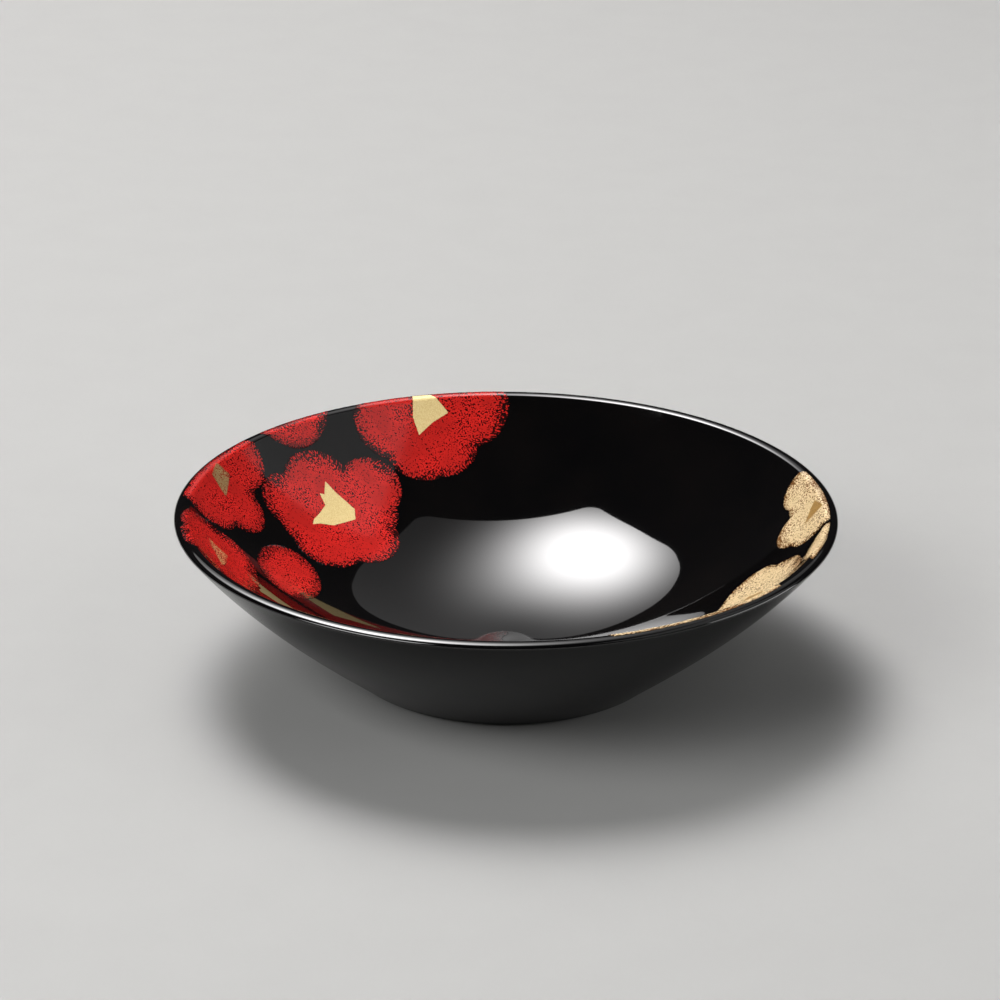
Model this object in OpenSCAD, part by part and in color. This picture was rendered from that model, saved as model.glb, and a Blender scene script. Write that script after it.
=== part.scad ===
// Lacquered serving bowl with painted camellias.
// A turned wooden core, ground coats, black top lacquer, and thin red and gold painted films inside.

/* [Bowl] */
// Diameter over the rim
rim_d = 210; // [180:1:240]
// Height from the resting plane to the top of the lip
bowl_h = 52.5; // [50:0.5:60]
// Width of the oval lip, across the wall's thickness
lip_w = 4.8; // [4:0.1:4.8]
// Height of the oval lip's section
lip_t = 2.4; // [2.4:0.1:3]
// Height of the inside floor at the centre
floor_z = 5.6; // [5.2:0.1:6.5]

/* [Foot] */
// Diameter of the base at the corner where the outer wall ends
base_d = 101.8; // [90:0.2:110]
// Outer diameter of the foot ring
ring_d = 96; // [80:0.5:98]
// Width of the foot ring
ring_w = 3.5; // [2.5:0.1:6]
// Height of the foot ring below the base corner
ring_h = 0.8; // [0.6:0.1:1.2]
// Depth of the underside recess inside the ring
recess_h = 1.8; // [1.2:0.1:2]

/* [Coats] */
// Thickness of the ground coat on the wood
ground_t = 0.25; // [0.15:0.05:0.25]
// Thickness of the black top lacquer
lacquer_t = 0.25; // [0.15:0.05:0.25]
// Thickness of each painted film
film_t = 0.2; // [0.1:0.05:0.3]

/* [Camellias] */
// Size of every flower, as a share of its usual size
flower_size = 1; // [0.8:0.01:1]
// How far a round petal shortens, seen from above, on the sloping wall
wall_squash = 0.71; // [0.6:0.01:0.8]
// How far below the outer edge of the lip the painting stops, seen from above
bare_rim = 1.6; // [1.6:0.1:5]

/* [Hidden] */

$fn = 96;
curve_steps = 22;      // straight pieces in each wall curve
lip_inner_steps = 4;   // straight pieces from the inside wall to the top of the lip
lip_outer_steps = 8;   // straight pieces from the top of the lip to the outside wall
outline_steps = 60;    // outline points of each flower
foot_chamfer = 0.3;    // edge break on the foot ring

wood_colour = "#a9794a";
ground_colour = "#4a3a30";
lacquer_colour = "#0b0b0c";
red_colour = "#cf1a1c";
gold_colour = "#e6c88f";
bronze_colour = "#a2772f";

rim_r = rim_d / 2;
base_r = base_d / 2;
ring_r = ring_d / 2;
lip_centre = [rim_r - lip_w / 2, bowl_h - lip_t / 2];

// Wall slopes, in degrees from level
inner_slope = 52;      // inside wall at the lip
outer_slope = 52;      // outside wall at the lip
base_slope = 42;       // outside wall at the base corner

// Pulls of the wall curves: how far each end keeps its own slope
inner_pull = 0.609 * rim_r;
floor_pull = 0.066 * rim_r;
outer_pull = 0.30 * rim_r;
base_pull = 0.07 * rim_r;

function unit(a) = [cos(a), sin(a)];

// The point of the oval lip whose surface faces one way, at a depth below that surface
function on_lip(facing, depth = 0) =
    let (reach = [lip_w / 2 * cos(facing), lip_t / 2 * sin(facing)])
        lip_centre + [lip_w / 2 * reach[0], lip_t / 2 * reach[1]] / norm(reach) - depth * unit(facing);

inner_end = on_lip(90 + inner_slope);
outer_end = on_lip(outer_slope - 90);
base_corner = [base_r, ring_h];

// Inside and outside wall curves, each from the bottom up to the lip
inner_curve = [
    [0, floor_z],
    [floor_pull, floor_z],
    inner_end - inner_pull * unit(inner_slope),
    inner_end
];
outer_curve = [
    base_corner,
    base_corner + base_pull * unit(base_slope),
    outer_end - outer_pull * unit(outer_slope),
    outer_end
];

function bezier(p, t) =
    pow(1 - t, 3) * p[0] + 3 * pow(1 - t, 2) * t * p[1] + 3 * (1 - t) * t * t * p[2] + pow(t, 3) * p[3];
function bezier_slope(p, t) =
    pow(1 - t, 2) * (p[1] - p[0]) + 2 * (1 - t) * t * (p[2] - p[1]) + t * t * (p[3] - p[2]);
function side_step(d, side) = side * [d[1], -d[0]] / norm(d);

// Points along a wall curve, moved sideways by the depth
function along(p, depth, side, first = 0) = [
    for (i = [first:curve_steps])
        bezier(p, i / curve_steps) + depth * side_step(bezier_slope(p, i / curve_steps), side)
];

// Inside wall, outside wall, lip and underside, each at a depth below the finished surface
function inside_line(depth) = along(inner_curve, depth, 1);
function outside_line(depth) = concat(
    [[base_r - depth * tan(base_slope / 2), ring_h + depth]],
    along(outer_curve, depth, -1, 1)
);
lip_facings = concat(
    [for (i = [0:lip_inner_steps]) 90 + inner_slope * (1 - i / lip_inner_steps)],
    [for (i = [1:lip_outer_steps]) 90 + (outer_slope - 180) * i / lip_outer_steps]
);
lip_last = lip_inner_steps + lip_outer_steps;
function lip_line(depth, first, last) = [for (i = [first:last]) on_lip(lip_facings[i], depth)];
function under_line(depth) = [
    [0, recess_h + depth],
    [ring_r - ring_w + depth, recess_h + depth],
    [ring_r - ring_w + depth, depth + foot_chamfer],
    [ring_r - ring_w + depth + foot_chamfer, depth],
    [ring_r - depth - foot_chamfer, depth],
    [ring_r - depth, depth + foot_chamfer],
    [ring_r - depth, ring_h + depth],
    [base_r - depth * tan(base_slope / 2), ring_h + depth]
];

function backwards(list) = [for (i = [len(list) - 1:-1:0]) list[i]];
function without_ends(list) = [for (i = [1:len(list) - 2]) list[i]];

// A thin ring of coat between two lines that run the same way
module coat(upper, lower) {
    rotate_extrude() polygon(concat(upper, backwards(lower)));
}

coats_t = ground_t + lacquer_t;

module turned_core() {
    color(wood_colour)
        rotate_extrude()
            polygon(concat(
                inside_line(coats_t),
                lip_line(coats_t, 1, lip_last - 1),
                backwards(outside_line(coats_t)),
                backwards(without_ends(under_line(coats_t))),
                [[0, recess_h + coats_t]]
            ));
}

// The ground coats meet at the top of the lip
function inside_to_top(depth) = concat(inside_line(depth), lip_line(depth, 1, lip_inner_steps));
function whole_outside(depth) = concat(
    lip_line(depth, lip_inner_steps, lip_last - 1),
    backwards(outside_line(depth)),
    backwards(without_ends(under_line(depth))),
    [[0, recess_h + depth]]
);

module ground_coat_inside() {
    color(ground_colour) coat(inside_to_top(lacquer_t), inside_to_top(coats_t));
}

module ground_coat_outside() {
    color(ground_colour) coat(whole_outside(lacquer_t), whole_outside(coats_t));
}

module inner_lacquer() {
    color(lacquer_colour) coat(inside_line(0), inside_line(lacquer_t));
}

module outer_lacquer() {
    color(lacquer_colour) coat(outside_line(lacquer_t), outside_line(0));
}

module rim_lacquer() {
    color(lacquer_colour) coat(lip_line(0, 0, lip_last), lip_line(lacquer_t, 0, lip_last));
}

module foot_lacquer() {
    color(lacquer_colour) coat(under_line(lacquer_t), under_line(0));
}

// Painted films. Each flower is [distance, compass angle, outer edge, petals]: the first two give
// its middle, seen from above, with the angle running from +X towards +Y. No paint lies farther out
// than its outer edge. A petal is [direction, distance out, radius] round the middle, measured on
// the wall, where direction 90 is uphill.
paint_edge = rim_r - bare_rim;
main_flower = [78, 137.5, paint_edge, [
    [0, 16.5, 13], [85, 10, 13.5], [155, 14, 13], [195, 12.5, 12.5], [230, 17.5, 13.5], [280, 18, 12.5], [320, 13, 12]
]];
far_flower = [99, 106, paint_edge, [
    [345, 16, 12.5], [5, 12, 12], [280, 14, 12.5], [252, 15, 13], [205, 16, 12], [180, 11, 12], [90, 6, 16]
]];
left_flower = [97, 161, paint_edge, [[3, 15, 10], [250, 9, 11], [220, 8, 11], [185, 16, 12], [90, 4, 16]]];
near_flower = [92, 186, paint_edge, [
    [10, 4, 9.5], [300, 8, 11], [255, 7, 12], [200, 13, 12], [160, 12, 12], [90, 3, 12]
]];
rim_petal = [99, 135, paint_edge, [[85, 12, 17]]];
fallen_petal = [70.5, 171.5, paint_edge, [[0, 0.6, 13.6], [180, 0.6, 13.6]]];
rim_gold = [98, 9.5, paint_edge - 1, [[174, 8, 8], [327, 11.5, 9.5], [348, 18.5, 8.5], [90, 2, 9], [10, 9, 9]]];
rim_gold_petal = [100, -14.5, paint_edge - 1, [[90, 17, 21.5]]];
wall_gold = [83, -17.5, paint_edge, [
    [215, 13, 12], [240, 10, 12], [178, 7, 11.5], [140, 6, 12], [100, 6, 11.5], [60, 6, 12], [20, 9, 12],
    [330, 10, 12], [285, 8, 12]
]];
near_gold = [96, -54, paint_edge - 0.6, [
    [0, 19, 13], [180, 19, 13], [60, 9, 13], [120, 9, 13], [240, 12, 13], [300, 12, 13]
]];

// How far the petals reach from the middle in one direction
function petal_reach(petals, a) = max([
    for (p = petals)
        let (off = p[0] - a, root = pow(p[2], 2) - pow(p[1] * sin(off), 2))
            root > 0 ? p[1] * cos(off) + sqrt(root) : 0
]);

// How far the outer edge is from the middle in one direction
function edge_reach(f, a) =
    let (
        go = [wall_squash * sin(a), cos(a)],
        k = go * go,
        h = f[0] * go[0]
    )
        (sqrt(h * h + k * (f[2] * f[2] - f[0] * f[0])) - h) / k;

function flower_outline(f) = [
    for (i = [0:outline_steps - 1])
        let (a = 360 * i / outline_steps)
            min(flower_size * petal_reach(f[3], a), edge_reach(f, a)) * unit(a)
];

// Outlines of the powdered patches at the flowers' hearts, as corners round each middle
main_heart = [
    [4, 11], [5, 6], [7.5, -3.5], [5, -7.5], [-4.5, -6.5], [-9, -4], [-12, -3.5], [-10, -1.5], [-6.5, 0],
    [-2, 2.5], [-1, 7.5], [0.5, 6.5]
];
far_heart = [[7, -3], [1, -5.5], [-4.5, -9.5], [-5.5, -3.5], [-4, 5.5], [2, 5]];
left_heart = [[5, 0.5], [-5.5, -4], [-3.5, 4], [3, 6]];
near_heart = [[2, 3], [1, -5], [-8, -4], [-13, -2], [-7, 0], [-3, 2]];
rim_gold_heart = [[4.5, 1.5], [12.5, 3.5], [12.5, -4.5], [7.5, -1]];
wall_gold_heart = [[-3.5, -9], [-5.5, -6], [-2.5, 1], [1, 2.5], [2.5, -6]];
near_gold_heart = [[5, 3], [4, -4], [-4, -5], [-5, 2], [-1, 5]];

// Moves a flat outline to its place on the wall, seen from above, shortened along the slope
function on_wall(f, outline) = [
    for (p = outline)
        f[0] * unit(f[1]) + p[0] * unit(f[1] - 90) + wall_squash * p[1] * unit(f[1])
];

// The painted surface at a height above the lacquer: the inside wall and the top of the lip
function painted_line(height) = concat(inside_line(-height), lip_line(-height, 1, lip_inner_steps + 1));

// The part of a thin layer on the painted surface that lies under an outline
module film(outline, low, high) {
    intersection() {
        coat(painted_line(high), painted_line(low));
        linear_extrude(height = bowl_h + 1) polygon(outline);
    }
}

module painted_flower(f) {
    film(on_wall(f, flower_outline(f)), 0, film_t);
}

module painted_heart(f, heart) {
    film(on_wall(f, flower_size * heart), film_t, 2 * film_t);
}

module red_camellia_main() { color(red_colour) painted_flower(main_flower); }
module red_camellia_far() { color(red_colour) painted_flower(far_flower); }
module red_camellia_left() { color(red_colour) painted_flower(left_flower); }
module red_camellia_near() { color(red_colour) painted_flower(near_flower); }
module red_petal_rim() { color(red_colour) painted_flower(rim_petal); }
module red_petal_fallen() { color(red_colour) painted_flower(fallen_petal); }

module gold_heart_main() { color(gold_colour) painted_heart(main_flower, main_heart); }
module gold_heart_far() { color(gold_colour) painted_heart(far_flower, far_heart); }
module gold_heart_left() { color(gold_colour) painted_heart(left_flower, left_heart); }
module gold_heart_near() { color(gold_colour) painted_heart(near_flower, near_heart); }

module gold_camellia_rim() { color(gold_colour) painted_flower(rim_gold); }
module gold_petal_rim() { color(gold_colour) painted_flower(rim_gold_petal); }
module gold_camellia_wall() { color(gold_colour) painted_flower(wall_gold); }
module gold_camellia_near() { color(gold_colour) painted_flower(near_gold); }

module bronze_heart_rim() { color(bronze_colour) painted_heart(rim_gold, rim_gold_heart); }
module bronze_heart_wall() { color(bronze_colour) painted_heart(wall_gold, wall_gold_heart); }
module bronze_heart_near() { color(bronze_colour) painted_heart(near_gold, near_gold_heart); }

turned_core();
ground_coat_inside();
ground_coat_outside();
inner_lacquer();
outer_lacquer();
rim_lacquer();
foot_lacquer();
red_camellia_main();
red_camellia_far();
red_camellia_left();
red_camellia_near();
red_petal_rim();
red_petal_fallen();
gold_heart_main();
gold_heart_far();
gold_heart_left();
gold_heart_near();
gold_camellia_rim();
gold_petal_rim();
gold_camellia_wall();
gold_camellia_near();
bronze_heart_rim();
bronze_heart_wall();
bronze_heart_near();
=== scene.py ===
import bpy
import math
import random
from mathutils import Euler, Matrix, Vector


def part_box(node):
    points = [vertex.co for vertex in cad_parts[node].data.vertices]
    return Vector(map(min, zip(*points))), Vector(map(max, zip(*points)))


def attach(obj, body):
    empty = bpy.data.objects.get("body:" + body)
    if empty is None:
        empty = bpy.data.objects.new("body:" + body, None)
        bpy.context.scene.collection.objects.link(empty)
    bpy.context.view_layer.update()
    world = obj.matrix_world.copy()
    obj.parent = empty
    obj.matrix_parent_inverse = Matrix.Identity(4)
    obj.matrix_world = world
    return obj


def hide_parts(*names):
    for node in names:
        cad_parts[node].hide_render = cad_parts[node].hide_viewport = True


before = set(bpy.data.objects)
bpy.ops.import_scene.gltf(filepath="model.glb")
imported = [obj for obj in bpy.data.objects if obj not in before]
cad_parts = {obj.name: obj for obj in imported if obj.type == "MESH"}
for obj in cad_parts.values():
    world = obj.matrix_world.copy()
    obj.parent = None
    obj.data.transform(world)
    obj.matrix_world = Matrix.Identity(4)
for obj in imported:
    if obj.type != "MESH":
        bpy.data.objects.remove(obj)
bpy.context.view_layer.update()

# The viewpoint
# A long lens looks down into the bowl from the front. The camera comes first, so that every
# piece can be judged from it as it is made.
lip_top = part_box("rim_lacquer")[1].z
rim_radius = 0.105
rim_plane = lip_top - 0.0008
look_down = math.radians(22.6)
camera_reach = 11 * rim_radius
aim_right = -0.0021
aim_up = 0.0030
roll = math.radians(0.34)

camera_out = camera_reach * math.cos(look_down)
camera_up = camera_reach * math.sin(look_down)
bpy.ops.object.camera_add(location=(0, -camera_out, rim_plane + camera_up))
camera = bpy.context.object
camera.data.lens = 131.1
camera.data.sensor_width = 36
camera.data.clip_start = 0.05
camera.data.clip_end = 30
aim_tilt = math.pi / 2 - look_down + math.atan(aim_up / camera_reach)
aim_turn = -math.atan(aim_right / camera_reach)
aim = Euler((aim_tilt, 0, aim_turn))
camera.rotation_euler = (aim.to_matrix() @ Matrix.Rotation(roll, 3, "Z")).to_euler()
bpy.context.scene.camera = camera


# The wooden core and its ground coats
# The body is turned from one block of wood, foot ring and all. Two rubbed-down ground coats
# fill its pores. None of it shows on a whole bowl, so these keep the CAD shapes.
def new_material(name):
    material = bpy.data.materials.new(name)
    material.use_nodes = True
    return material, material.node_tree.nodes, material.node_tree.links


def add_node(nodes, kind, **values):
    node = nodes.new(kind)
    for key, value in values.items():
        setattr(node, key, value)
    return node


def colour_stops(ramp, stops):
    """Gives a colour ramp the stops (position, colour)."""
    elements = ramp.color_ramp.elements
    while len(elements) < len(stops):
        elements.new(1.0)
    for element, (position, colour) in zip(elements, stops):
        element.position = position
        element.color = (*colour, 1.0)


def finish_node(node_name, material):
    """Puts a material on a CAD node that is shown as it is."""
    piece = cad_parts[node_name]
    piece.data.materials.clear()
    piece.data.materials.append(material)


def turned_wood():
    material, nodes, links = new_material("turned_wood")
    shader = nodes["Principled BSDF"]
    shader.inputs["Roughness"].default_value = 0.6
    place = add_node(nodes, "ShaderNodeTexCoord")
    rings = add_node(nodes, "ShaderNodeTexWave", wave_type="BANDS", bands_direction="X")
    rings.inputs["Scale"].default_value = 60
    rings.inputs["Distortion"].default_value = 6
    rings.inputs["Detail"].default_value = 4
    ramp = add_node(nodes, "ShaderNodeValToRGB")
    colour_stops(ramp, [(0.0, (0.36, 0.20, 0.09)), (1.0, (0.62, 0.42, 0.24))])
    links.new(place.outputs["Object"], rings.inputs["Vector"])
    links.new(rings.outputs["Fac"], ramp.inputs["Fac"])
    links.new(ramp.outputs["Color"], shader.inputs["Base Color"])
    return material


def ground_coat():
    material, nodes, links = new_material("ground_coat")
    shader = nodes["Principled BSDF"]
    shader.inputs["Roughness"].default_value = 0.75
    place = add_node(nodes, "ShaderNodeTexCoord")
    grit = add_node(nodes, "ShaderNodeTexNoise")
    grit.inputs["Scale"].default_value = 900
    ramp = add_node(nodes, "ShaderNodeValToRGB")
    colour_stops(ramp, [(0.3, (0.10, 0.07, 0.055)), (0.7, (0.20, 0.14, 0.11))])
    links.new(place.outputs["Object"], grit.inputs["Vector"])
    links.new(grit.outputs["Fac"], ramp.inputs["Fac"])
    links.new(ramp.outputs["Color"], shader.inputs["Base Color"])
    return material


finish_node("turned_core", turned_wood())
coat_ground = ground_coat()
finish_node("ground_coat_inside", coat_ground)
finish_node("ground_coat_outside", coat_ground)


# The black lacquer
# Four coats cover the whole bowl: inside, outside, round the lip, and over the foot. Each is
# turned as a smooth shell, a quarter of a millimetre thick. The inside and the lip are
# polished to a mirror, and the outside and the foot to a satin.
lacquer_thickness = 0.00025
turn_steps = 288
wall_steps = 72
lip_steps = 36
lip_slope = math.radians(52)
base_slope = math.radians(42)
base_radius = 0.0509
foot_height = 0.0008
floor_height = 0.0056
lip_half_width = 0.0024
lip_half_height = 0.0012
lip_centre = (rim_radius - lip_half_width, lip_top - lip_half_height)


def step_from(point, distance, angle):
    """The point of (radius, height) at a distance from another one, at an angle up."""
    return (point[0] + distance * math.cos(angle), point[1] + distance * math.sin(angle))


def on_lip(facing, depth):
    """The point of the oval lip whose surface faces one way, at a depth below that surface."""
    wide = lip_half_width * math.cos(facing)
    high = lip_half_height * math.sin(facing)
    size = math.hypot(wide, high)
    surface = (
        lip_centre[0] + lip_half_width * wide / size,
        lip_centre[1] + lip_half_height * high / size,
    )
    return step_from(surface, -depth, facing)


# The walls are swept curves. Their handles are shares of the rim's radius.
flat_floor = 0.066 * rim_radius
inner_handle = 0.609 * rim_radius
foot_handle = 0.07 * rim_radius
outer_handle = 0.30 * rim_radius
inner_end = on_lip(math.pi / 2 + lip_slope, 0)
outer_end = on_lip(lip_slope - math.pi / 2, 0)
inner_curve = [
    (0.0, floor_height),
    (flat_floor, floor_height),
    step_from(inner_end, -inner_handle, lip_slope),
    inner_end,
]
outer_curve = [
    (base_radius, foot_height),
    step_from((base_radius, foot_height), foot_handle, base_slope),
    step_from(outer_end, -outer_handle, lip_slope),
    outer_end,
]


def wall_point(curve, t, depth):
    """A point on a wall curve, moved towards its right side by depth."""
    a, b, c, d = curve
    s = 1 - t
    point = [
        s ** 3 * a[k] + 3 * s * s * t * b[k] + 3 * s * t * t * c[k] + t ** 3 * d[k]
        for k in (0, 1)
    ]
    run = [
        s * s * (b[k] - a[k]) + 2 * s * t * (c[k] - b[k]) + t * t * (d[k] - c[k])
        for k in (0, 1)
    ]
    length = math.hypot(*run)
    return (point[0] + depth * run[1] / length, point[1] - depth * run[0] / length)


def wall_line(curve, depth):
    return [wall_point(curve, i / wall_steps, depth) for i in range(wall_steps + 1)]


def lip_line(depth):
    """The lip's outline, from the inner wall over the top to the outer wall."""
    first = math.pi / 2 + lip_slope
    return [on_lip(first - math.pi * i / lip_steps, depth) for i in range(lip_steps + 1)]


foot_outside = 0.048
foot_inside = 0.0445
foot_recess = 0.0018
edge_break = 0.0003


def foot_line(depth):
    """The foot ring and the recess inside it, from the wall's corner to the middle."""
    ring_outside = foot_outside - depth
    ring_inside = foot_inside + depth
    corner = base_radius - depth * math.tan(base_slope / 2)
    return [
        (corner, foot_height + depth),
        (ring_outside + edge_break, foot_height + depth),
        (ring_outside, foot_height + depth - edge_break),
        (ring_outside, depth + edge_break),
        (ring_outside - edge_break, depth),
        (ring_inside + edge_break, depth),
        (ring_inside, depth + edge_break),
        (ring_inside, foot_recess + depth - edge_break),
        (ring_inside - edge_break, foot_recess + depth),
        (0.0, foot_recess + depth),
    ]


def start_point(name, at):
    """A new mesh of a single vertex, in edit mode, ready to be drawn out."""
    bpy.ops.object.select_all(action="DESELECT")
    bpy.ops.mesh.primitive_plane_add(size=0.001)
    piece = bpy.context.object
    piece.name = name
    bpy.ops.object.mode_set(mode="EDIT")
    bpy.ops.mesh.select_all(action="SELECT")
    bpy.ops.mesh.merge(type="CENTER")
    bpy.ops.transform.translate(value=at)
    return piece


def turn_shell(name, profile):
    """Draws a profile of (radius, height) in the XZ plane and spins it round the bowl's axis."""
    piece = start_point(name, (profile[0][0], 0, profile[0][1]))
    for (r0, z0), (r1, z1) in zip(profile, profile[1:]):
        bpy.ops.mesh.extrude_vertices_move(TRANSFORM_OT_translate={"value": (r1 - r0, 0, z1 - z0)})
    bpy.ops.mesh.select_all(action="SELECT")
    bpy.ops.mesh.spin(steps=turn_steps, angle=math.tau, center=(0, 0, 0), axis=(0, 0, 1))
    bpy.ops.mesh.select_all(action="SELECT")
    bpy.ops.mesh.remove_doubles(threshold=1e-6)
    bpy.ops.mesh.normals_make_consistent(inside=False)
    bpy.ops.object.mode_set(mode="OBJECT")
    bpy.ops.object.shade_smooth_by_angle(angle=math.radians(35))
    return piece


def polish_group():
    """Faint cloudiness and rubbing marks of hand-polished lacquer."""
    group = bpy.data.node_groups.new("polish_marks", "ShaderNodeTree")
    face = group.interface
    face.new_socket("Cloud Scale", in_out="INPUT", socket_type="NodeSocketFloat")
    face.new_socket("Cloud", in_out="OUTPUT", socket_type="NodeSocketFloat")
    face.new_socket("Marks", in_out="OUTPUT", socket_type="NodeSocketFloat")
    nodes, links = group.nodes, group.links
    given = nodes.new("NodeGroupInput")
    result = nodes.new("NodeGroupOutput")
    place = nodes.new("ShaderNodeTexCoord")
    cloud = nodes.new("ShaderNodeTexNoise")
    cloud.inputs["Detail"].default_value = 3
    marks = nodes.new("ShaderNodeTexNoise")
    marks.inputs["Scale"].default_value = 1400
    marks.inputs["Detail"].default_value = 2
    links.new(place.outputs["Object"], cloud.inputs["Vector"])
    links.new(given.outputs["Cloud Scale"], cloud.inputs["Scale"])
    links.new(place.outputs["Object"], marks.inputs["Vector"])
    links.new(cloud.outputs["Fac"], result.inputs["Cloud"])
    links.new(marks.outputs["Fac"], result.inputs["Marks"])
    return group


polish_marks = polish_group()


def black_lacquer(name, specular, smoothest, roughest):
    """Deep black lacquer with a faint brown cloudiness and fine rubbing marks."""
    material, nodes, links = new_material(name)
    shader = nodes["Principled BSDF"]
    shader.inputs["IOR"].default_value = 1.5
    shader.inputs["Specular IOR Level"].default_value = specular
    polish = add_node(nodes, "ShaderNodeGroup", node_tree=polish_marks)
    polish.inputs["Cloud Scale"].default_value = 35
    tone = add_node(nodes, "ShaderNodeValToRGB")
    colour_stops(tone, [(0.3, (0.0012, 0.0012, 0.0014)), (0.75, (0.0028, 0.0023, 0.0022))])
    rough = add_node(nodes, "ShaderNodeMapRange")
    rough.inputs["To Min"].default_value = smoothest
    rough.inputs["To Max"].default_value = roughest
    links.new(polish.outputs["Cloud"], tone.inputs["Fac"])
    links.new(tone.outputs["Color"], shader.inputs["Base Color"])
    links.new(polish.outputs["Marks"], rough.inputs["Value"])
    links.new(rough.outputs["Result"], shader.inputs["Roughness"])
    return material


mirror_lacquer = black_lacquer("black_lacquer", specular=0.5, smoothest=0.015, roughest=0.045)
satin_lacquer = black_lacquer("black_lacquer_outside", specular=0.15, smoothest=0.16, roughest=0.24)


def lacquer_shell(node_name, profile, lacquer):
    shell = turn_shell(node_name + "_shell", profile)
    shell.data.materials.append(lacquer)
    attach(shell, "root")
    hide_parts(node_name)


def closed(front, back):
    """One loop out of two lines that run the same way."""
    return front + back[::-1] + front[:1]


lacquer_shell(
    "inner_lacquer",
    wall_line(inner_curve, 0) + wall_line(inner_curve, lacquer_thickness)[::-1],
    mirror_lacquer,
)
corner_inside = (
    base_radius - lacquer_thickness * math.tan(base_slope / 2),
    foot_height + lacquer_thickness,
)
outer_back = [corner_inside] + wall_line(outer_curve, -lacquer_thickness)[1:]
lacquer_shell("outer_lacquer", closed(wall_line(outer_curve, 0), outer_back), satin_lacquer)
lacquer_shell("rim_lacquer", closed(lip_line(0), lip_line(lacquer_thickness)), mirror_lacquer)
lacquer_shell("foot_lacquer", foot_line(0) + foot_line(lacquer_thickness)[::-1], satin_lacquer)


# The red camellias
# Red lacquer is dabbed on the inside wall with a stiff brush, thick at a petal's middle and
# broken into specks at its edge. Each flower is one film that follows the wall.
millimetre = 0.001
map_length = 150  # of the brush map, once round a film
wall_squash = 0.71  # a length up the wall, as seen from above
film_lift = 0.00002
film_thickness = 0.0001
paint_edge = 103.4
edge_fray = 0.0004
above_lip = lip_top + 0.01
painted_profile = wall_line(inner_curve, 0) + lip_line(0)[1:lip_steps // 2]
painted_surface = turn_shell("painted_surface", painted_profile)


def petal_reach(petals, angle):
    """How far the outermost round petal reaches from the flower's middle in one direction."""
    reach = 0.0
    for turn, out, radius in petals:
        off = math.radians(turn) - angle
        inside_root = radius * radius - (out * math.sin(off)) ** 2
        if inside_root > 0:
            reach = max(reach, out * math.cos(off) + math.sqrt(inside_root))
    return reach


def wall_place(spot, across, up):
    """Plan x and y of a place across and up the wall from a spot (distance, angle, edge)."""
    radius, compass = spot[0], math.radians(spot[1])
    out = (math.cos(compass), math.sin(compass))
    side = (math.sin(compass), -math.cos(compass))
    return [
        millimetre * (radius * out[k] + across * side[k] + wall_squash * up * out[k])
        for k in (0, 1)
    ]


def rim_reach(spot, angle):
    """How far a spot's outer edge is from it, in millimetres, in one direction."""
    start = wall_place(spot, 0, 0)
    ahead = wall_place(spot, math.cos(angle), math.sin(angle))
    step = [p - q for p, q in zip(ahead, start)]
    a = step[0] ** 2 + step[1] ** 2
    b = 2 * (step[0] * start[0] + step[1] * start[1])
    c = start[0] ** 2 + start[1] ** 2 - (millimetre * spot[2]) ** 2
    return (-b + math.sqrt(b * b - 4 * a * c)) / (2 * a)


def brush_disc(around, rings):
    """A flat disc of rings, one millimetre in radius, from which each film is drawn out."""
    disc = start_point("brush_disc", (0, 0, 0))
    for _ in range(rings):
        bpy.ops.mesh.extrude_vertices_move(TRANSFORM_OT_translate={"value": (1 / rings, 0, 0)})
    bpy.ops.mesh.select_all(action="SELECT")
    bpy.ops.mesh.spin(steps=around, angle=math.tau, center=(0, 0, 0), axis=(0, 0, 1))
    bpy.ops.mesh.select_all(action="SELECT")
    bpy.ops.mesh.remove_doubles(threshold=1e-5)
    bpy.ops.mesh.normals_make_consistent(inside=False)
    bpy.ops.object.mode_set(mode="OBJECT")
    if disc.data.polygons[0].normal.z < 0:
        bpy.ops.object.mode_set(mode="EDIT")
        bpy.ops.mesh.flip_normals()
        bpy.ops.object.mode_set(mode="OBJECT")
    return disc


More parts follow.
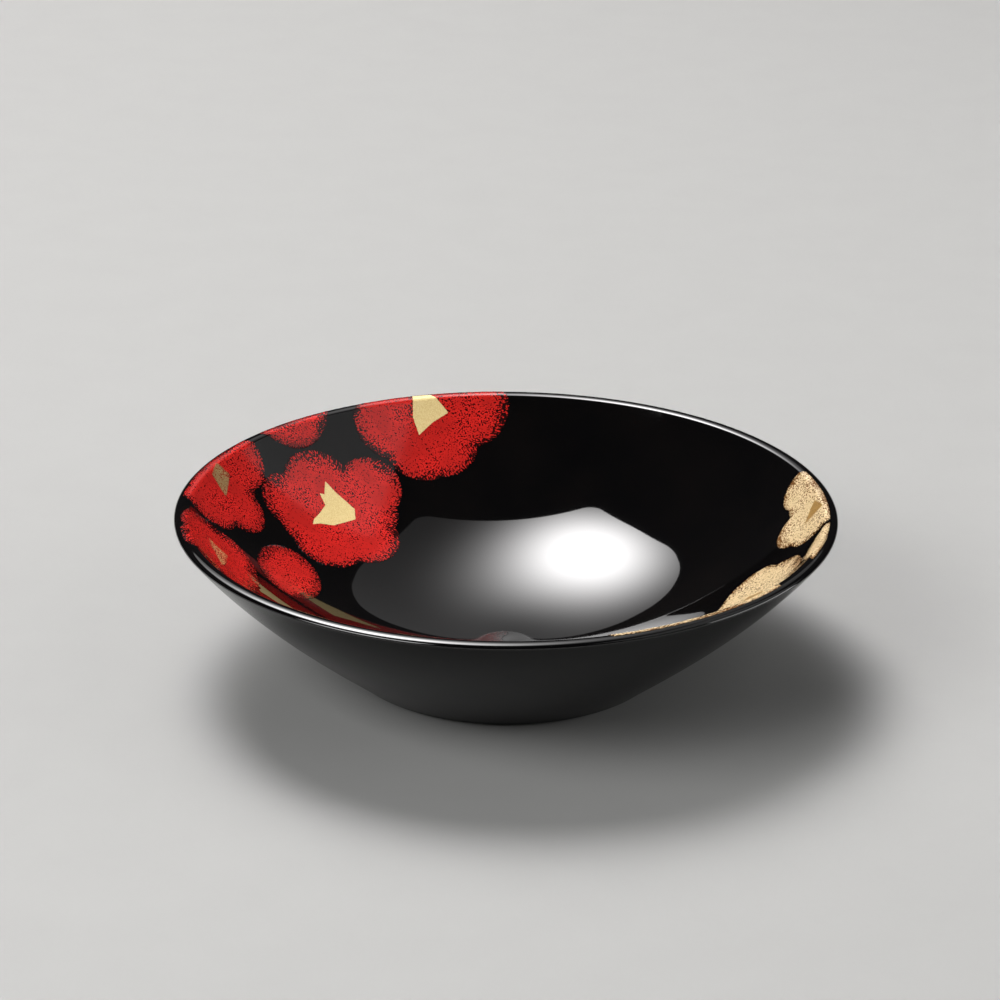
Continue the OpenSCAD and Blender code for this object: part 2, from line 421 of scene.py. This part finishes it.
def painted_film(name, disc, spot, outline, fray, lift, thickness, seed):
    """A thin film on the inside wall: a disc drawn out to its outline and laid on the wall.

    Its brush map runs round the outline one way and in from the edge, in millimetres, the other.
    """
    chance = random.Random(seed)
    bpy.ops.object.select_all(action="DESELECT")
    piece = disc.copy()
    piece.data = disc.data.copy()
    piece.name = name
    bpy.context.collection.objects.link(piece)
    bpy.context.view_layer.objects.active = piece
    piece.select_set(True)
    around = sum(1 for vertex in piece.data.vertices if vertex.co.length > 0.999)
    smooths, reaches = [], []
    for i in range(around):
        angle = math.tau * i / around
        smooths.append(min(outline(angle), rim_reach(spot, angle)))
        reaches.append(smooths[i] + fray / millimetre * chance.uniform(-1, 1))
    flat = {}
    for vertex in piece.data.vertices:
        share = math.hypot(vertex.co.x, vertex.co.y)
        step = round(math.atan2(vertex.co.y, vertex.co.x) / math.tau * around) % around
        angle = math.tau * step / around
        smooth = smooths[step]
        reach = reaches[step] if share > 0.99 else share * smooth
        x, y = wall_place(spot, reach * math.cos(angle), reach * math.sin(angle))
        flat[vertex.index] = (step, reach, smooth)
        vertex.co = (x, y, above_lip)
    brush = piece.data.uv_layers.new(name="brush")
    for polygon in piece.data.polygons:
        steps = [flat[v][0] for v in polygon.vertices]
        wraps = max(steps) - min(steps) > around / 2
        for corner, v in zip(polygon.loop_indices, polygon.vertices):
            step, reach, smooth = flat[v]
            if wraps and step < around / 2:
                step += around
            brush.data[corner].uv = (step / around * map_length, smooth - reach)
    laid = piece.modifiers.new("laid_on_wall", "SHRINKWRAP")
    laid.target = painted_surface
    laid.wrap_method = "PROJECT"
    laid.use_project_x = False
    laid.use_project_y = False
    laid.use_project_z = True
    laid.use_negative_direction = True
    laid.use_positive_direction = False
    bpy.ops.object.modifier_apply(modifier=laid.name)
    bpy.ops.object.mode_set(mode="EDIT")
    bpy.ops.mesh.select_all(action="SELECT")
    bpy.ops.transform.translate(value=(0, 0, lift))
    bpy.ops.object.mode_set(mode="OBJECT")
    body = piece.modifiers.new("film_body", "SOLIDIFY")
    body.thickness = thickness
    body.offset = 1
    bpy.ops.object.modifier_apply(modifier=body.name)
    bpy.ops.object.shade_smooth_by_angle(angle=math.radians(35))
    return piece


patchiness = 0.35


def stipple_group():
    """Where the dabbing brush left gaps: few at a petal's middle, many long ones at its edge."""
    group = bpy.data.node_groups.new("brush_stipple", "ShaderNodeTree")
    face = group.interface
    face.new_socket("Middle Gaps", in_out="INPUT", socket_type="NodeSocketFloat")
    face.new_socket("Edge Gaps", in_out="INPUT", socket_type="NodeSocketFloat")
    face.new_socket("Edge Width", in_out="INPUT", socket_type="NodeSocketFloat")
    face.new_socket("Gap", in_out="OUTPUT", socket_type="NodeSocketFloat")
    face.new_socket("Tone", in_out="OUTPUT", socket_type="NodeSocketFloat")
    nodes, links = group.nodes, group.links
    given = nodes.new("NodeGroupInput")
    result = nodes.new("NodeGroupOutput")
    place = nodes.new("ShaderNodeTexCoord")
    brush = nodes.new("ShaderNodeUVMap")
    brush.uv_map = "brush"
    split = nodes.new("ShaderNodeSeparateXYZ")
    links.new(brush.outputs["UV"], split.inputs["Vector"])
    nearness = nodes.new("ShaderNodeMapRange")
    nearness.inputs["From Min"].default_value = 0
    nearness.inputs["To Min"].default_value = 1
    nearness.inputs["To Max"].default_value = 0
    links.new(split.outputs["Y"], nearness.inputs["Value"])
    links.new(given.outputs["Edge Width"], nearness.inputs["From Max"])
    stretch = nodes.new("ShaderNodeMapping")
    stretch.inputs["Scale"].default_value = (1.9, 0.85, 1)
    links.new(brush.outputs["UV"], stretch.inputs["Vector"])
    strokes = nodes.new("ShaderNodeTexNoise")
    strokes.inputs["Scale"].default_value = 1.0
    strokes.inputs["Detail"].default_value = 1.5
    links.new(stretch.outputs["Vector"], strokes.inputs["Vector"])
    dabs = nodes.new("ShaderNodeTexNoise")
    dabs.inputs["Scale"].default_value = 1900
    dabs.inputs["Detail"].default_value = 1
    links.new(place.outputs["Object"], dabs.inputs["Vector"])
    pattern = nodes.new("ShaderNodeMix")
    links.new(nearness.outputs["Result"], pattern.inputs["Factor"])
    links.new(dabs.outputs["Fac"], pattern.inputs["A"])
    links.new(strokes.outputs["Fac"], pattern.inputs["B"])
    patches = nodes.new("ShaderNodeTexNoise")
    patches.inputs["Scale"].default_value = 110
    patches.inputs["Detail"].default_value = 2
    links.new(place.outputs["Object"], patches.inputs["Vector"])
    share = nodes.new("ShaderNodeMix")
    links.new(nearness.outputs["Result"], share.inputs["Factor"])
    links.new(given.outputs["Middle Gaps"], share.inputs["A"])
    links.new(given.outputs["Edge Gaps"], share.inputs["B"])
    uneven = nodes.new("ShaderNodeMath")
    uneven.operation = "MULTIPLY_ADD"
    uneven.inputs[1].default_value = patchiness
    links.new(patches.outputs["Fac"], uneven.inputs[0])
    links.new(share.outputs["Result"], uneven.inputs[2])
    level = nodes.new("ShaderNodeMath")
    level.operation = "SUBTRACT"
    level.inputs[1].default_value = patchiness / 2
    links.new(uneven.outputs["Value"], level.inputs[0])
    over = nodes.new("ShaderNodeMath")
    over.operation = "SUBTRACT"
    links.new(level.outputs["Value"], over.inputs[0])
    links.new(pattern.outputs["Result"], over.inputs[1])
    sharp = nodes.new("ShaderNodeMapRange")
    sharp.inputs["From Min"].default_value = -0.03
    sharp.inputs["From Max"].default_value = 0.035
    links.new(over.outputs["Value"], sharp.inputs["Value"])
    links.new(sharp.outputs["Result"], result.inputs["Gap"])
    links.new(patches.outputs["Fac"], result.inputs["Tone"])
    return group


brush_stipple = stipple_group()


def dabbed_finish(name, light, dark, gap, roughness, middle, edge, width, metal=0.0):
    """Dabbed paint: two tones of its colour, broken by gaps that show what lies under it."""
    material, nodes, links = new_material(name)
    shader = nodes["Principled BSDF"]
    shader.inputs["IOR"].default_value = 1.5
    shader.inputs["Metallic"].default_value = metal
    stipple = add_node(nodes, "ShaderNodeGroup", node_tree=brush_stipple)
    stipple.inputs["Middle Gaps"].default_value = middle
    stipple.inputs["Edge Gaps"].default_value = edge
    stipple.inputs["Edge Width"].default_value = width
    tone = add_node(nodes, "ShaderNodeValToRGB")
    colour_stops(tone, [(0.35, dark), (0.65, light)])
    broken = add_node(nodes, "ShaderNodeMix", data_type="RGBA")
    broken.inputs["B"].default_value = (*gap, 1)
    rough = add_node(nodes, "ShaderNodeMapRange")
    rough.inputs["To Min"].default_value = roughness
    rough.inputs["To Max"].default_value = roughness * 0.4
    height = add_node(nodes, "ShaderNodeMath", operation="SUBTRACT")
    height.inputs[0].default_value = 1
    bump = add_node(nodes, "ShaderNodeBump")
    bump.inputs["Distance"].default_value = 0.00002
    bump.inputs["Strength"].default_value = 0.3
    links.new(stipple.outputs["Tone"], tone.inputs["Fac"])
    links.new(tone.outputs["Color"], broken.inputs["A"])
    links.new(stipple.outputs["Gap"], broken.inputs["Factor"])
    links.new(broken.outputs["Result"], shader.inputs["Base Color"])
    links.new(stipple.outputs["Gap"], rough.inputs["Value"])
    links.new(rough.outputs["Result"], shader.inputs["Roughness"])
    links.new(stipple.outputs["Gap"], height.inputs[1])
    links.new(height.outputs["Value"], bump.inputs["Height"])
    links.new(bump.outputs["Normal"], shader.inputs["Normal"])
    return material


red_lacquer = dabbed_finish(
    "red_lacquer",
    light=(0.62, 0.018, 0.014),
    dark=(0.42, 0.014, 0.011),
    gap=(0.02, 0.003, 0.003),
    roughness=0.12,
    middle=0.40,
    edge=0.57,
    width=6.0,
)


def paint(piece, node_name, material):
    piece.data.materials.append(material)
    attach(piece, "root")
    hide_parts(node_name)


flower_disc = brush_disc(around=840, rings=18)

# Each flower: its spot (distance, compass angle, outer edge) and its petals (direction, distance
# out, radius), in degrees and millimetres
red_flowers = {
    "red_camellia_main": ((78, 137.5, paint_edge), [
        (0, 16.5, 13), (85, 10, 13.5), (155, 14, 13), (195, 12.5, 12.5), (230, 17.5, 13.5),
        (280, 18, 12.5), (320, 13, 12),
    ]),
    "red_camellia_far": ((99, 106, paint_edge), [
        (345, 16, 12.5), (5, 12, 12), (280, 14, 12.5), (252, 15, 13), (205, 16, 12),
        (180, 11, 12), (90, 6, 16),
    ]),
    "red_camellia_left": ((97, 161, paint_edge), [
        (3, 15, 10), (250, 9, 11), (220, 8, 11), (185, 16, 12), (90, 4, 16),
    ]),
    "red_camellia_near": ((92, 186, paint_edge), [
        (10, 4, 9.5), (300, 8, 11), (255, 7, 12), (200, 13, 12), (160, 12, 12), (90, 3, 12),
    ]),
    "red_petal_rim": ((99, 135, paint_edge), [(85, 12, 17)]),
    "red_petal_fallen": ((70.5, 171.5, paint_edge), [(0, 0.6, 13.6), (180, 0.6, 13.6)]),
}


def painted_flower(node_name, spot, petals, material, seed):
    film = painted_film(
        node_name + "_film", flower_disc, spot, lambda angle: petal_reach(petals, angle),
        edge_fray, film_lift, film_thickness, seed,
    )
    paint(film, node_name, material)


for number, (node_name, (spot, petals)) in enumerate(red_flowers.items()):
    painted_flower(node_name, spot, petals, red_lacquer, seed=number)


# The gold hearts of the red flowers
# Gold powder is sifted over a small angular patch of wet lacquer on top of each red flower.
heart_lift = film_lift + film_thickness
heart_thickness = 0.00008
heart_fray = 0.0001


def heart_reach(corners, angle):
    """How far a patch with these corners, given by direction and distance, reaches one way."""
    turn = math.degrees(angle) % 360
    ring = sorted(corners)
    for (a0, r0), (a1, r1) in zip(ring, ring[1:] + [(ring[0][0] + 360, ring[0][1])]):
        for t in (turn, turn + 360):
            if a0 <= t <= a1:
                p = math.radians(t - a0)
                q = math.radians(a1 - t)
                return r0 * r1 * math.sin(p + q) / (r0 * math.sin(p) + r1 * math.sin(q))
    return ring[0][1]


def powder_finish(name, bright, deep, roughness, metal):
    """Sifted metal powder: fine grains of two tones."""
    material, nodes, links = new_material(name)
    shader = nodes["Principled BSDF"]
    shader.inputs["Metallic"].default_value = metal
    shader.inputs["Roughness"].default_value = roughness
    place = add_node(nodes, "ShaderNodeTexCoord")
    grain = add_node(nodes, "ShaderNodeTexNoise")
    grain.inputs["Scale"].default_value = 2600
    grain.inputs["Detail"].default_value = 3
    ramp = add_node(nodes, "ShaderNodeValToRGB")
    colour_stops(ramp, [(0.35, deep), (0.6, bright)])
    bump = add_node(nodes, "ShaderNodeBump")
    bump.inputs["Distance"].default_value = 0.00002
    bump.inputs["Strength"].default_value = 0.4
    links.new(place.outputs["Object"], grain.inputs["Vector"])
    links.new(grain.outputs["Fac"], ramp.inputs["Fac"])
    links.new(ramp.outputs["Color"], shader.inputs["Base Color"])
    links.new(grain.outputs["Fac"], bump.inputs["Height"])
    links.new(bump.outputs["Normal"], shader.inputs["Normal"])
    return material


gold_powder = powder_finish(
    "gold_powder_heart", bright=(0.80, 0.64, 0.30), deep=(0.68, 0.49, 0.20), roughness=0.45, metal=0.1
)
heart_disc = brush_disc(around=240, rings=8)
# Each heart: its flower's spot and the patch's corners across and up the wall, in millimetres
gold_hearts = {
    "gold_heart_main": ((78, 137.5, paint_edge), [
        (4, 11), (5, 6), (7.5, -3.5), (5, -7.5), (-4.5, -6.5), (-9, -4), (-12, -3.5),
        (-10, -1.5), (-6.5, 0), (-2, 2.5), (-1, 7.5), (0.5, 6.5),
    ]),
    "gold_heart_far": ((99, 106, paint_edge), [
        (7, -3), (1, -5.5), (-4.5, -9.5), (-5.5, -3.5), (-4, 5.5), (2, 5),
    ]),
    "gold_heart_left": ((97, 161, paint_edge), [(5, 0.5), (-5.5, -4), (-3.5, 4), (3, 6)]),
    "gold_heart_near": ((92, 186, paint_edge), [
        (2, 3), (1, -5), (-8, -4), (-13, -2), (-7, 0), (-3, 2),
    ]),
}


def painted_heart(node_name, spot, corners, material, seed):
    ring = [(math.degrees(math.atan2(y, x)) % 360, math.hypot(x, y)) for x, y in corners]
    film = painted_film(
        node_name + "_film", heart_disc, spot, lambda angle: heart_reach(ring, angle),
        heart_fray, heart_lift, heart_thickness, seed,
    )
    paint(film, node_name, material)


# The hearts on the left and near walls are darker copies of the gold powder, which is painted shade,
# with the red flower showing between the grains
shaded_powder_left = dabbed_finish(
    "gold_powder_painted_shade_left",
    light=(0.34, 0.24, 0.10),
    dark=(0.26, 0.17, 0.07),
    gap=(0.25, 0.006, 0.007),
    roughness=0.3,
    middle=0.45,
    edge=0.52,
    width=2.0,
)
shaded_powder_near = dabbed_finish(
    "gold_powder_painted_shade_near",
    light=(0.50, 0.34, 0.14),
    dark=(0.38, 0.24, 0.09),
    gap=(0.36, 0.01, 0.009),
    roughness=0.2,
    middle=0.46,
    edge=0.54,
    width=2.0,
)
# The left and near hearts take these darker copies of the gold, painted shade
heart_finish = {"gold_heart_left": shaded_powder_left, "gold_heart_near": shaded_powder_near}
for number, (node_name, (spot, corners)) in enumerate(gold_hearts.items()):
    powder = heart_finish.get(node_name, gold_powder)
    painted_heart(node_name, spot, corners, powder, seed=20 + number)


# The gold camellias
# The flowers across the bowl are dabbed in pale gold instead of red, with the same brush.
gold_lacquer = dabbed_finish(
    "gold_powder_flower",
    light=(0.72, 0.56, 0.33),
    dark=(0.58, 0.44, 0.24),
    gap=(0.16, 0.07, 0.02),
    roughness=0.4,
    middle=0.43,
    edge=0.56,
    width=4.0,
    metal=0.1,
)
gold_flowers = {
    "gold_camellia_rim": ((98, 9.5, paint_edge - 1), [
        (174, 8, 8), (327, 11.5, 9.5), (348, 18.5, 8.5), (90, 2, 9), (10, 9, 9),
    ]),
    "gold_petal_rim": ((100, -14.5, paint_edge - 1), [(90, 17, 21.5)]),
    "gold_camellia_wall": ((83, -17.5, paint_edge), [
        (215, 13, 12), (240, 10, 12), (178, 7, 11.5), (140, 6, 12), (100, 6, 11.5),
        (60, 6, 12), (20, 9, 12), (330, 10, 12), (285, 8, 12),
    ]),
    "gold_camellia_near": ((96, -54, paint_edge - 0.6), [
        (0, 19, 13), (180, 19, 13), (60, 9, 13), (120, 9, 13), (240, 12, 13), (300, 12, 13),
    ]),
}
for number, (node_name, (spot, petals)) in enumerate(gold_flowers.items()):
    painted_flower(node_name, spot, petals, gold_lacquer, seed=40 + number)


# The dark hearts of the gold flowers
# A coarser, darker gold fills the hearts of the gold flowers.
bronze_powder = powder_finish(
    "bronze_powder_heart", bright=(0.38, 0.22, 0.06), deep=(0.22, 0.12, 0.03), roughness=0.45, metal=0.2
)
bronze_hearts = {
    "bronze_heart_rim": ((98, 4, paint_edge), [(-5, 2), (3, 4), (3, -4), (-2, -0.5)]),
    "bronze_heart_wall": ((80, -16.5, paint_edge), [
        (-2, -5), (-4, -2), (-1, 5), (2.5, 6.5), (4, -2),
    ]),
    "bronze_heart_near": ((96, -54, paint_edge), [(5, 3), (4, -4), (-4, -5), (-5, 2), (-1, 5)]),
}
for number, (node_name, (spot, corners)) in enumerate(bronze_hearts.items()):
    painted_heart(node_name, spot, corners, bronze_powder, seed=60 + number)

for template in (flower_disc, heart_disc, painted_surface):
    bpy.data.objects.remove(template)


# The studio
# The bowl stands on a sheet of grey paper under one large diffuser that hangs behind and above it.
# A lamp behind the diffuser makes a hot spot. A white board hangs over the right side, and two
# lamps stand at the left and the right, low enough to light the paper and the wall.
def studio_paper():
    material, nodes, links = new_material("grey_paper")
    shader = nodes["Principled BSDF"]
    shader.inputs["Roughness"].default_value = 0.95
    shader.inputs["Specular IOR Level"].default_value = 0.1
    place = add_node(nodes, "ShaderNodeTexCoord")
    fibre = add_node(nodes, "ShaderNodeTexNoise")
    fibre.inputs["Scale"].default_value = 40
    ramp = add_node(nodes, "ShaderNodeValToRGB")
    colour_stops(ramp, [(0.3, (0.342, 0.342, 0.335)), (0.7, (0.348, 0.348, 0.341))])
    links.new(place.outputs["Object"], fibre.inputs["Vector"])
    links.new(fibre.outputs["Fac"], ramp.inputs["Fac"])
    links.new(ramp.outputs["Color"], shader.inputs["Base Color"])
    return material


bpy.ops.object.select_all(action="DESELECT")
bpy.ops.mesh.primitive_plane_add(size=8, location=(0, 0, 0))
paper = bpy.context.object
paper.name = "grey_paper"
paper.data.materials.append(studio_paper())

diffuser_reach = 2.6
diffuser_rise = math.radians(50)
hot_spot = (-0.265, 0.255, 0)
hot_spot_size = (0.235, 0.33, 1)
hot_spot_glow = 27.5
sheet_glow = 0.30


def diffuser_light():
    """An even glow with a round hot spot that fades out like a bell curve."""
    material, nodes, links = new_material("diffuser")
    nodes.remove(nodes["Principled BSDF"])
    place = add_node(nodes, "ShaderNodeTexCoord")
    centre = add_node(nodes, "ShaderNodeMapping", vector_type="TEXTURE")
    centre.inputs["Location"].default_value = hot_spot
    centre.inputs["Scale"].default_value = hot_spot_size
    distance = add_node(nodes, "ShaderNodeVectorMath", operation="LENGTH")
    square = add_node(nodes, "ShaderNodeMath", operation="POWER")
    square.inputs[1].default_value = 2
    negative = add_node(nodes, "ShaderNodeMath", operation="MULTIPLY")
    negative.inputs[1].default_value = -1
    bell = add_node(nodes, "ShaderNodeMath", operation="EXPONENT")
    strength = add_node(nodes, "ShaderNodeMath", operation="MULTIPLY_ADD")
    strength.inputs[1].default_value = hot_spot_glow
    strength.inputs[2].default_value = sheet_glow
    glow = add_node(nodes, "ShaderNodeEmission")
    glow.inputs["Color"].default_value = (1, 0.985, 0.985, 1)
    output = nodes["Material Output"]
    links.new(place.outputs["UV"], centre.inputs["Vector"])
    links.new(centre.outputs["Vector"], distance.inputs[0])
    links.new(distance.outputs["Value"], square.inputs[0])
    links.new(square.outputs["Value"], negative.inputs[0])
    links.new(negative.outputs["Value"], bell.inputs[0])
    links.new(bell.outputs["Value"], strength.inputs[0])
    links.new(strength.outputs["Value"], glow.inputs["Strength"])
    links.new(glow.outputs["Emission"], output.inputs["Surface"])
    return material


# The diffuser's corners, as shares of its distance: a wide sheet that hangs in a round belly
diffuser_corners = [
    (0.38, 0.54), (-0.42, 0.64), (-0.50, 0.30), (-0.53, 0.0), (-0.47, -0.20), (-0.35, -0.36),
    (-0.16, -0.46), (0.10, -0.48), (0.27, -0.44), (0.36, -0.28), (0.41, -0.05),
]
corner_round = 0.07
diffuser = start_point("diffuser", (0, 0, 0))
bpy.ops.transform.translate(value=(*diffuser_corners[0], 0))
for (x0, y0), (x1, y1) in zip(diffuser_corners, diffuser_corners[1:]):
    bpy.ops.mesh.extrude_vertices_move(TRANSFORM_OT_translate={"value": (x1 - x0, y1 - y0, 0)})
bpy.ops.mesh.select_all(action="SELECT")
bpy.ops.mesh.edge_face_add()
bpy.ops.mesh.bevel(offset=corner_round, segments=6, affect="VERTICES")
bpy.ops.mesh.normals_make_consistent(inside=False)
bpy.ops.object.mode_set(mode="OBJECT")
if not diffuser.data.uv_layers:
    diffuser.data.uv_layers.new(name="sheet")
sheet_uv = diffuser.data.uv_layers[0]
for loop in diffuser.data.loops:
    point = diffuser.data.vertices[loop.vertex_index].co
    sheet_uv.data[loop.index].uv = (point.x, point.y)
diffuser.scale = (diffuser_reach, diffuser_reach, diffuser_reach)
diffuser.location = (
    0,
    diffuser_reach * math.cos(diffuser_rise),
    rim_plane + diffuser_reach * math.sin(diffuser_rise),
)
diffuser.rotation_euler = (diffuser_rise + math.pi / 2, 0, 0)
diffuser.data.materials.append(diffuser_light())
diffuser.visible_camera = False


def light_sheet(name, corners, strength):
    """A flat sheet that glows evenly, stretched between four corners."""
    bpy.ops.object.select_all(action="DESELECT")
    bpy.ops.mesh.primitive_plane_add(size=1.0)
    sheet = bpy.context.object
    sheet.name = name
    for vertex, corner in zip(sheet.data.vertices, corners):
        vertex.co = corner
    material, nodes, _ = new_material(name)
    shader = nodes["Principled BSDF"]
    shader.inputs["Base Color"].default_value = (0.1, 0.1, 0.1, 1)
    shader.inputs["Emission Color"].default_value = (1, 1, 1, 1)
    shader.inputs["Emission Strength"].default_value = strength
    sheet.data.materials.append(material)
    sheet.visible_camera = False


light_sheet(
    "white_board",
    corners=[(0.55, -0.9, 1.15), (0.55, 0.62, 1.15), (0.95, -0.9, 0.6), (0.95, 0.62, 0.6)],
    strength=0.4,
)
light_sheet(
    "left_lamp",
    corners=[(-1.2, -0.35, 0.6), (-0.6, -1.05, 0.6), (-1.1, -0.3, 1.3), (-0.5, -0.95, 1.3)],
    strength=8.0,
)
light_sheet(
    "right_lamp",
    corners=[(1.25, -0.5, 0.1), (1.25, 0.4, 0.1), (1.25, -0.5, 0.5), (1.25, 0.4, 0.5)],
    strength=5.0,
)

world = bpy.data.worlds.new("dark_studio")
world.use_nodes = True
world.node_tree.nodes["Background"].inputs["Color"].default_value = (0.02, 0.02, 0.021, 1)
bpy.context.scene.world = world
bpy.context.scene.view_settings.view_transform = "Standard"
